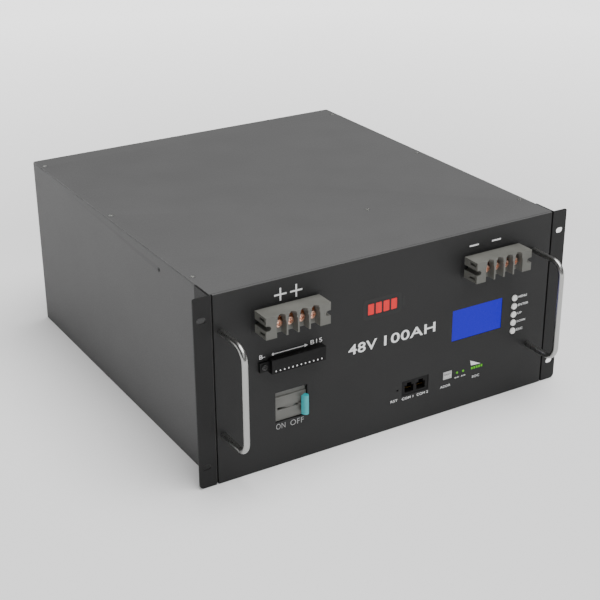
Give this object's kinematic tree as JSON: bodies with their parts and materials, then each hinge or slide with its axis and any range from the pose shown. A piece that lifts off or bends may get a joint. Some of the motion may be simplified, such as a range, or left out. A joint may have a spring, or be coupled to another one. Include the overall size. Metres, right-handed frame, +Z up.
{
  "type": "rack battery pack",
  "caption": "Rack-mounted lithium battery pack: folded steel case with ears, bow handles, screw terminal blocks, breaker, display, keys and sockets.",
  "frame": {"origin": "on the surface the pack stands on, under the middle of its overall box, handles included", "axes": "+X to the right as seen from the front, +Y towards the back, +Z up; the front panel faces -Y"},
  "size_m": [0.4826, 0.5412, 0.219],
  "materials": {
    "case_paint": "fine powder coat, satin grey",
    "panel_paint": "powder coat, dark grey",
    "steel": "zinc-plated steel",
    "polished_steel": "polished",
    "terminal_plastic": "moulded grey plastic",
    "copper": "bare copper",
    "black_plastic": "moulded black plastic",
    "breaker_plastic": "moulded grey plastic",
    "lever_plastic": "moulded teal plastic",
    "display_glass": "lit blue display behind a clear window",
    "key_plastic": "moulded white plastic",
    "switch_plastic": "moulded light grey plastic",
    "light_guide": "clear moulding lit green",
    "circuit_board": "green solder mask",
    "cell_plastic": "blue film over an aluminium can",
    "carrier_plastic": "insulating sheet with bare links",
    "fuse_ceramic": "glazed ceramic with copper blades",
    "red_cable": "red cable sheath",
    "black_cable": "black cable sheath"
  },
  "bodies": {
    "case": {"case_tray": "case_paint", "top_cover": "case_paint", "front_panel": "panel_paint", "rack_ear_left": "panel_paint", "rack_ear_right": "panel_paint", "cross_plate": "steel", "breaker_pivot_pin": "steel", "cover_screw_1": "steel", "cover_screw_2": "steel", "cover_screw_3": "steel", "cover_screw_4": "steel", "cover_screw_5": "steel", "cover_screw_6": "steel", "cover_screw_7": "steel", "side_screw_left": "steel", "side_screw_right": "steel", "handle_left": "polished_steel", "handle_right": "polished_steel", "positive_terminal_block": "terminal_plastic", "negative_terminal_block": "terminal_plastic", "positive_contact_bar": "copper", "negative_contact_bar": "copper", "positive_terminal_screw_1": "copper", "positive_terminal_screw_2": "copper", "positive_terminal_screw_3": "copper", "positive_terminal_screw_4": "copper", "negative_terminal_screw_1": "copper", "negative_terminal_screw_2": "copper", "negative_terminal_screw_3": "copper", "negative_terminal_screw_4": "copper", "balance_connector": "black_plastic", "network_socket": "black_plastic", "breaker_body": "breaker_plastic", "display_window": "display_glass", "dip_switch_body": "switch_plastic", "status_light_guide": "light_guide", "charge_light_guide": "light_guide", "display_board": "circuit_board", "communication_board": "circuit_board", "management_board": "circuit_board", "cell_stack_left": "cell_plastic", "cell_stack_middle": "cell_plastic", "cell_stack_right": "cell_plastic", "link_carrier": "carrier_plastic", "main_fuse": "fuse_ceramic", "positive_lead_front": "red_cable", "positive_lead_rear": "red_cable", "negative_lead_front": "black_cable", "negative_lead_rear": "black_cable"},
    "breaker_lever": {"breaker_lever": "lever_plastic"},
    "reset_button": {"reset_button": "key_plastic"},
    "menu_key_1": {"menu_key_1": "key_plastic"},
    "menu_key_2": {"menu_key_2": "key_plastic"},
    "menu_key_3": {"menu_key_3": "key_plastic"},
    "menu_key_4": {"menu_key_4": "key_plastic"},
    "menu_key_5": {"menu_key_5": "key_plastic"},
    "dip_slider_1": {"dip_slider_1": "key_plastic"},
    "dip_slider_2": {"dip_slider_2": "key_plastic"},
    "dip_slider_3": {"dip_slider_3": "key_plastic"},
    "dip_slider_4": {"dip_slider_4": "key_plastic"}
  },
  "joints": [
    {"name": "breaker_lever_turn", "type": "hinge", "parent": "case", "child": "breaker_lever", "pos_m": [-0.1293, -0.19085, 0.06775], "axis": [0, 0, -1], "range_deg": [0, 53]},
    {"name": "menu_key_1_press", "type": "slide", "parent": "case", "child": "menu_key_1", "axis": [0, 1, 0], "range_m": [0, 0.001], "stiffness_N_per_m": 800, "springref_m": -0.0005},
    {"name": "menu_key_2_press", "type": "slide", "parent": "case", "child": "menu_key_2", "axis": [0, 1, 0], "range_m": [0, 0.001], "stiffness_N_per_m": 800, "springref_m": -0.0005},
    {"name": "menu_key_3_press", "type": "slide", "parent": "case", "child": "menu_key_3", "axis": [0, 1, 0], "range_m": [0, 0.001], "stiffness_N_per_m": 800, "springref_m": -0.0005},
    {"name": "menu_key_4_press", "type": "slide", "parent": "case", "child": "menu_key_4", "axis": [0, 1, 0], "range_m": [0, 0.001], "stiffness_N_per_m": 800, "springref_m": -0.0005},
    {"name": "menu_key_5_press", "type": "slide", "parent": "case", "child": "menu_key_5", "axis": [0, 1, 0], "range_m": [0, 0.001], "stiffness_N_per_m": 800, "springref_m": -0.0005},
    {"name": "reset_button_press", "type": "slide", "parent": "case", "child": "reset_button", "axis": [0, 1, 0], "range_m": [0, 0.001], "stiffness_N_per_m": 800, "springref_m": -0.0005},
    {"name": "dip_slider_1_slide", "type": "slide", "parent": "case", "child": "dip_slider_1", "axis": [0, 0, 1], "range_m": [0, 0.0022]},
    {"name": "dip_slider_2_slide", "type": "slide", "parent": "case", "child": "dip_slider_2", "axis": [0, 0, 1], "range_m": [0, 0.0022]},
    {"name": "dip_slider_3_slide", "type": "slide", "parent": "case", "child": "dip_slider_3", "axis": [0, 0, 1], "range_m": [0, 0.0022]},
    {"name": "dip_slider_4_slide", "type": "slide", "parent": "case", "child": "dip_slider_4", "axis": [0, 0, 1], "range_m": [0, 0.0022]}
  ]
}
